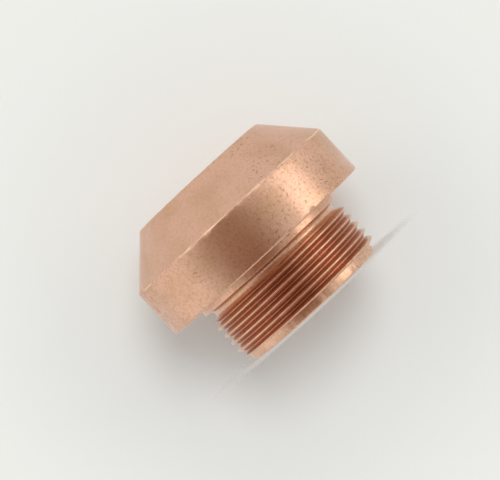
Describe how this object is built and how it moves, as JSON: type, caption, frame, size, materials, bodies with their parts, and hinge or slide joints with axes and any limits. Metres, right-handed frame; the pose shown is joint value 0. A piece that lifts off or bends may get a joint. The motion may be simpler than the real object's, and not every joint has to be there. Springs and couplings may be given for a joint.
{
  "type": "plasma torch nozzle",
  "caption": "Copper plasma torch nozzle: conical nose with a narrow orifice, cylindrical head, and an externally threaded rear round a stepped bore.",
  "frame": {"origin": "centre of the rear end, in the plane the nozzle stands on", "axes": "+Z along the nozzle's axis, from the rear end towards the front face and the orifice"},
  "size_m": [0.0375, 0.0374, 0.0264],
  "materials": {
    "turned copper": null
  },
  "bodies": {
    "root": {"nozzle": "turned copper"}
  },
  "joints": []
}
